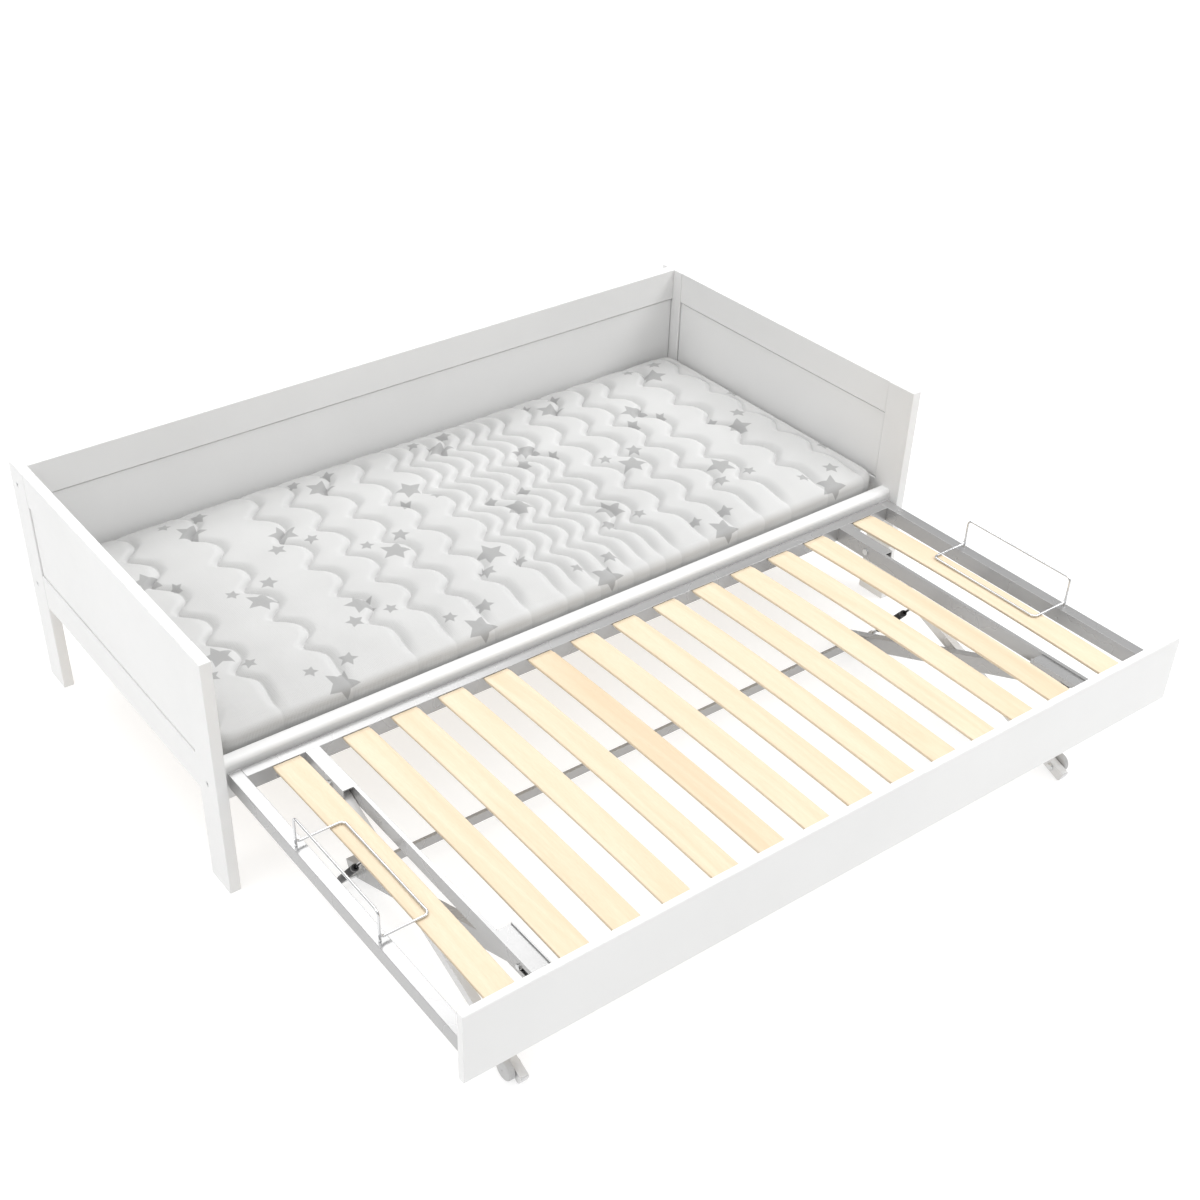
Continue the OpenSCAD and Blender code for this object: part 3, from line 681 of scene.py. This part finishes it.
def slat_bow(node):
    """Middle y, half length and radius of the arc that a node's slats are bowed to."""
    low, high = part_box(node)
    half = (high.y - low.y) / 2
    bow = high.z - low.z - SLAT_THICK
    return (high.y + low.y) / 2, half, (half ** 2 + bow ** 2) / (2 * bow)


def slats(node, centres, material):
    """Bowed slats with softly rounded edges, one piece for each CAD node."""
    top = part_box(node)[1].z
    middle, half, radius = slat_bow(node)
    corner, end_round, steps = 0.0026, 0.0012, 56
    square = [Vector((sx * (SLAT_WIDE / 2), sz, 0))
              for sx, sz in ((-1, -SLAT_THICK), (1, -SLAT_THICK), (1, 0), (-1, 0))]
    section = rounded(square, corner, 4, closed=True)
    bm = bmesh.new()
    for x in centres:
        rings = []
        for k in range(steps + 1):
            y = middle + (2 * k / steps - 1) * half
            drop = (y - middle) ** 2 / (2 * radius)
            shrink = end_round if k in (0, steps) else 0.0
            ring = []
            for p in section:
                px = p.x - math.copysign(min(shrink, abs(p.x)), p.x)
                pz = p.y - shrink * (1 if p.y > -SLAT_THICK / 2 else -1)
                ring.append(bm.verts.new((x + px, y, top - drop + pz)))
            rings.append(ring)
        for first, second in zip(rings, rings[1:]):
            for k in range(len(section)):
                n = (k + 1) % len(section)
                bm.faces.new((first[k], first[n], second[n], second[k]))
        bm.faces.new(rings[0])
        bm.faces.new(rings[-1][::-1])
    piece(node + ".bowed", bm, material, "trundle_frame", [node])


def wire_stop(side, material):
    """Closed wire hoop, bent at right angles: upright at the end bar, foot over the end slat."""
    node = "mattress_stop_" + side
    low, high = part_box(node)
    r, bend, clear = 0.003, 0.012, 0.0002
    sign = -1 if side == "left" else 1
    upright = (low.x if sign < 0 else high.x) - sign * r
    inner = (high.x if sign < 0 else low.x) + sign * r
    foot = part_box("slat_end_" + side)[1].z + r + clear
    front, back = low.y + r, high.y - r
    top = high.z - r
    corners = [Vector(c) for c in (
        (upright, front, foot), (upright, front, top), (upright, back, top),
        (upright, back, foot), (inner, back, foot), (inner, front, foot))]
    bm = bmesh.new()
    sweep(bm, rounded(corners, bend, 8, closed=True), r, closed=True)
    for y in (front, back):
        leg = [Vector((upright, y, low.z)), Vector((upright, y, foot + bend))]
        sweep(bm, leg, r * 0.999)
    piece(node + ".wire", bm, material, "trundle_frame", [node])


def wheel(node, outside, material):
    """Smooth moulded wheel with well rounded edges and a pin hole in its outer face."""
    low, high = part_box(node)
    radius = (high.z - low.z) / 2
    half = (high.x - low.x) / 2
    bore, pin, cap, corner = 0.0051, 0.0016, 0.0040, 0.0036
    arc = [(corner * (1 - math.cos(a)), radius - corner * (1 - math.sin(a)))
           for a in (math.pi / 2 * k / 8 for k in range(9))]
    outline = [(-half, bore), (-half, radius - 0.0090)]
    outline += [(-half + 0.0004 + a, r) for a, r in arc]
    outline += [(half - 0.0006 - a, r) for a, r in reversed(arc)]
    outline += [(half - 0.0001, radius - 0.0085), (half, 0.0060), (half, pin + 0.0005),
                (half - 0.0005, pin), (half - cap, pin), (half - cap, bore), (-half, bore)]
    bm = bmesh.new()
    lathe(bm, outline, (low + high) / 2, (outside, 0, 0), 96)
    bmesh.ops.remove_doubles(bm, verts=bm.verts, dist=WELD)
    piece(node + ".disc", bm, material, node, [node])


def wheel_axle(node, wheel_node, outside, material):
    """Axle that ends blind inside its wheel, with a domed head at the other end."""
    low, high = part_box(node)
    wheel_low, wheel_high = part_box(wheel_node)
    arm_low, arm_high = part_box("outer_arm_left")
    if outside > 0:
        inner, wheel_inner, wheel_outer = low.x, wheel_low.x, wheel_high.x
    else:
        inner, wheel_inner, wheel_outer = high.x, wheel_high.x, wheel_low.x
    length = abs(wheel_outer - inner) - 0.0045
    face = abs(wheel_inner - inner) - 0.0003
    head, rim, pin, collar = 0.004, 0.0088, 0.0050, 0.0080
    through = head + arm_high.x - arm_low.x
    middle = (wheel_low + wheel_high) / 2
    outline = [(0, 0), (0, 0.0055), (0.0012, 0.0080), (0.0028, rim), (head, rim), (head, pin),
               (through, pin), (through, collar), (face, collar), (face, pin),
               (length, pin), (length, 0)]
    bm = bmesh.new()
    lathe(bm, outline, Vector((inner, middle.y, middle.z)), (outside, 0, 0), 48)
    piece(node + ".pin", bm, material, body_of(node), [node])


def joint(name):
    return next(j for j in frame["joints"] if j["name"] == name)


def gas_spring(side, rod_finish, tube_finish, eye_finish):
    """Gas spring: black cylinder above the lower eye, bright rod up to the other eye."""
    rod_node, tube_node = "gas_rod_" + side, "gas_cylinder_" + side
    low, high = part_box(rod_node)
    lower = Vector(joint("gas_swing_" + side)["pos_m"])
    lower.x = (low.x + high.x) / 2
    axis = Vector(joint("gas_stroke_" + side)["axis"]).normalized()
    eye_r, eye_half, edge = 0.009, 0.005, 0.0008
    length = (high.z - eye_r - lower.z) / axis.z
    upper = lower + axis * length
    across = Vector((1, 0, 0))

    def eye(bm, centre, hole):
        lathe(bm, [(-eye_half, hole), (-eye_half, eye_r - edge), (-eye_half + edge, eye_r),
                   (eye_half - edge, eye_r), (eye_half, eye_r - edge), (eye_half, hole),
                   (-eye_half, hole)], centre, across, 48)

    def finish(bm, name, material, body, replaced):
        bmesh.ops.remove_doubles(bm, verts=bm.verts, dist=WELD)
        piece(name, bm, material, body, replaced)

    start, stop, r = 0.032, 0.160, 0.009        # cylinder, measured from the lower eye
    neck, shoulder, rod, bore, root = 0.0042, 0.0049, 0.0040, 0.0072, 0.0075
    bm = bmesh.new()
    eye(bm, lower, 0.00405)
    lathe(bm, [(root, 0), (root, neck), (start - 0.006, neck), (start - 0.004, shoulder),
               (start + 0.001, shoulder), (start + 0.001, 0)], lower, axis, 40)
    finish(bm, tube_node + ".eye", eye_finish, tube_node, [tube_node])

    shape = [(start + 0.0002, 0), (start + 0.0002, r - 0.0046), (start + 0.0010, r - 0.0028),
             (start + 0.0028, r - 0.0011), (start + 0.0052, r - 0.0002), (start + 0.0075, r)]
    shape += [(stop - 0.0162, r), (stop - 0.0150, r - 0.0009), (stop - 0.0132, r - 0.0009),
              (stop - 0.0120, r)]               # rolled groove under the guide
    shape += [(stop - 0.0055, r), (stop - 0.0030, r - 0.0002), (stop - 0.0008, r - 0.0014),
              (stop, r - 0.0030), (stop, 0.0046), (stop - 0.004, neck), (stop - 0.010, neck),
              (stop - 0.010, bore), (start + 0.006, bore), (start + 0.006, 0)]
    bm = bmesh.new()
    lathe(bm, shape, lower, axis, 56)
    finish(bm, tube_node + ".tube", tube_finish, tube_node, [tube_node])

    bm = bmesh.new()
    lathe(bm, [(stop - 0.018, 0), (stop - 0.018, rod), (length - 0.020, rod),
               (length - 0.018, 0.0047), (length - root, 0.0047), (length - root, 0)],
          lower, axis, 40)
    eye(bm, upper, 0.0030)
    finish(bm, rod_node + ".rod", rod_finish, rod_node, [rod_node])

    bm = bmesh.new()
    lathe(bm, [(-0.0072, 0), (-0.0072, 0.0048), (-0.0066, 0.0056), (-eye_half, 0.0060),
               (-eye_half, 0.0029), (eye_half, 0.0029), (eye_half, 0)], upper, across, 32)
    finish(bm, rod_node + ".bolt", eye_finish, rod_node, [])


# ---------- the bed ----------

def dress():
    """Gives every CAD node its finish, and rounds over what is seen of wood and steel."""
    paint = {axis: lacquer("white_lacquer_" + axis, axis) for axis in "xyz"}
    steel = steel_paint("powder_coat", 0.41, 0.44, 0.6)
    arm_steel = steel_paint("arm_coat", 0.66, 0.72, 0.15)
    metal = zinc()
    pale = moulded("pale_nylon", (0.52, 0.52, 0.52), (0.60, 0.60, 0.60))
    dark = moulded("dark_glide", (0.16, 0.16, 0.16), (0.22, 0.22, 0.22), 0.6)
    pine_tones = (0.80, 0.66, 0.45), (0.70, 0.54, 0.33), (0.56, 0.38, 0.20)
    pine = planed_wood("pine", *pine_tones)
    pine_long = planed_wood("pine_long", *pine_tones, grain="x")
    for node in ("post_front_left", "post_rear_left", "post_front_right", "post_rear_right"):
        softened(node, paint["z"], 0.0022)
    for side in ("left", "right"):
        softened("end_top_rail_" + side, paint["y"], 0.0016)
        softened("end_low_rail_" + side, paint["y"], 0.0016)
        softened("end_panel_" + side, paint["y"], 0.0008)
    for node, width in (("back_top_rail", 0.0018), ("back_low_rail", 0.0014),
                        ("back_panel", 0.0008), ("trundle_front", 0.0016)):
        softened(node, paint["x"], width)
    # Painted shade: the front side rail gets a slightly darker copy of the white lacquer (tone
    # 0.96) for the shade it sits in under the mattress and trundle.
    softened("front_side_rail", lacquer("rail_lacquer_painted_shade", "x", 0.96), 0.0016)
    for node in ("frame_bar_front", "frame_bar_rear", "frame_bar_left", "frame_bar_right"):
        softened(node, steel, 0.0016)
    for node in ("cross_rail_left", "cross_rail_right", "slide_tracks", "link_bar",
                 "inner_arm_left", "inner_arm_right"):
        softened(node, steel, 0.0010, 0.006)
    for node in ("outer_arm_left", "outer_arm_right"):
        softened(node, arm_steel, 0.0010, 0.006)
    softened("slat_seats", steel, 0.0006, 0.002)
    softened("slat_ledges", pine_long, 0.0016)
    softened("base_slats", pine, 0.0025)
    softened("bar_plugs", pale, 0.0008, 0.004)
    plain = {"slat_webbing": woven_tape(), "post_glides": dark, "slide_rollers_left": pale,
             "slide_rollers_right": pale}
    plain |= {node: metal for node in (
        "bed_bolts", "barrel_nuts", "front_screws", "stop_screws", "upper_pivot_bolts",
        "rear_axles", "mid_pivot_bolts", "arm_pins", "front_axle_left", "front_axle_right")}
    for node, material in plain.items():
        mesh = frame["nodes"][node].data
        mesh.materials.clear()
        mesh.materials.append(material)
    return metal


def lay_slats():
    """Six bowed slats each side of the middle, and one at each end."""
    middle, _, radius = slat_bow("slats_left")
    plies = {"middle": middle, "radius": radius, "top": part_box("slats_left")[1].z, "ply": 0.0016}
    birch = planed_wood("birch", (0.75, 0.645, 0.49), (0.70, 0.58, 0.42), (0.58, 0.43, 0.27),
                        plies=plies)
    low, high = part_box("slats_right")
    inner = low.x + SLAT_WIDE / 2
    pitch = (high.x - SLAT_WIDE / 2 - inner) / 5
    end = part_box("slat_end_right")[0].x + SLAT_WIDE / 2
    slats("slats_right", [inner + k * pitch for k in range(6)], birch)
    slats("slats_left", [-inner - k * pitch for k in range(6)], birch)
    slats("slat_end_right", [end], birch)
    slats("slat_end_left", [-end], birch)


def main():
    metal = dress()
    mattress(knit_cover())
    lay_slats()
    wire, rod, black = bright_wire(), polished_rod(), black_paint()
    tread = moulded("grey_wheel", (0.50, 0.50, 0.50), (0.56, 0.56, 0.56))
    for side, outside in (("left", -1), ("right", 1)):
        wire_stop(side, wire)
        wheel("rear_wheel_" + side, -outside, tread)
        wheel("front_wheel_" + side, outside, tread)
        wheel_axle("front_axle_" + side, "front_wheel_" + side, outside, metal)
        gas_spring(side, rod, black, metal)


main()


# ---------- floor, light, camera ----------

DOME_HORIZON, DOME_TOP, DOME_POWER = 0.36, 2.85, 4
BACK_LIGHT, KEY_LIGHT, LEFT_LIGHT = 3.0, 6.5, 4.6
FLOOR_GLOW = 0.66


def softbox(name, place, aim, wide, deep, radiance):
    """Soft rectangular lamp of a given surface brightness, pointed at aim."""
    lamp = bpy.data.lights.new(name, "AREA")
    lamp.shape = "RECTANGLE"
    lamp.size, lamp.size_y = wide, deep
    lamp.energy = radiance * math.pi * wide * deep
    obj = bpy.data.objects.new(name, lamp)
    obj.location = place
    obj.rotation_euler = (Vector(aim) - obj.location).to_track_quat("-Z", "Y").to_euler()
    bpy.context.scene.collection.objects.link(obj)


def studio():
    """Pale floor under a dome that brightens towards the top, with three softboxes."""
    scene = bpy.context.scene
    scene.view_settings.view_transform = "Standard"
    world = bpy.data.worlds.new("studio")
    scene.world = world
    world.use_nodes = True
    nodes, links = world.node_tree.nodes, world.node_tree.links
    place = nodes.new("ShaderNodeTexCoord").outputs["Generated"]
    split = nodes.new("ShaderNodeSeparateXYZ")
    links.new(place, split.inputs[0])
    power = nodes.new("ShaderNodeMath")
    power.operation = "POWER"
    links.new(split.outputs[2], power.inputs[0])
    power.inputs[1].default_value = DOME_POWER
    sky = nodes.new("ShaderNodeMapRange")
    links.new(power.outputs[0], sky.inputs[0])
    for k, v in enumerate((0.0, 1.0, DOME_HORIZON, DOME_TOP)):
        sky.inputs[k + 1].default_value = v
    links.new(sky.outputs[0], nodes["Background"].inputs["Strength"])
    nodes["Background"].inputs["Color"].default_value = (1, 1, 1, 1)

    mesh = bpy.data.meshes.new("floor")
    size, z = 14.0, cad_box[0][2]
    corners = [(-size, -size, z), (size, -size, z), (size, size, z), (-size, size, z)]
    mesh.from_pydata(corners, [], [(0, 1, 2, 3)])
    floor = bpy.data.objects.new("floor", mesh)
    scene.collection.objects.link(floor)
    s = Shader("pale_floor", roughness=0.9, specular=0.1)
    s.color(s.mix(s.noise(1.5, 2), (0.41, 0.41, 0.41), (0.43, 0.43, 0.43)))
    s.set("Emission Color", (1, 1, 1, 1))
    s.set("Emission Strength", FLOOR_GLOW)
    mesh.materials.append(s.material)
    softbox("back_light", (0.75, 2.9, 3.9), (-0.5, -0.4, 0.3), 2.1, 2.0, BACK_LIGHT)
    softbox("key_light", (3.3, -2.6, 3.6), (0, 0.3, 0.3), 1.8, 1.8, KEY_LIGHT)
    softbox("left_light", (-5.5, -0.3, 4.0), (0.8, 0.2, 0.4), 2.2, 2.0, LEFT_LIGHT)


def camera():
    """Off the front left corner, 2.64 m up, looking down over the whole bed."""
    data = bpy.data.cameras.new("view")
    data.sensor_width = 36.0
    data.lens = 49.9
    data.shift_x = 0.0748
    data.shift_y = 0.0593
    eye = bpy.data.objects.new("view", data)
    yaw, pitch = math.radians(35.12), math.radians(-36.824)
    eye.location = (-2.0686, -2.6238, 2.6406)
    flat = math.cos(pitch)
    look = Vector((math.sin(yaw) * flat, math.cos(yaw) * flat, math.sin(pitch)))
    eye.rotation_euler = look.to_track_quat("-Z", "Y").to_euler()
    bpy.context.scene.collection.objects.link(eye)
    bpy.context.scene.camera = eye


studio()
camera()
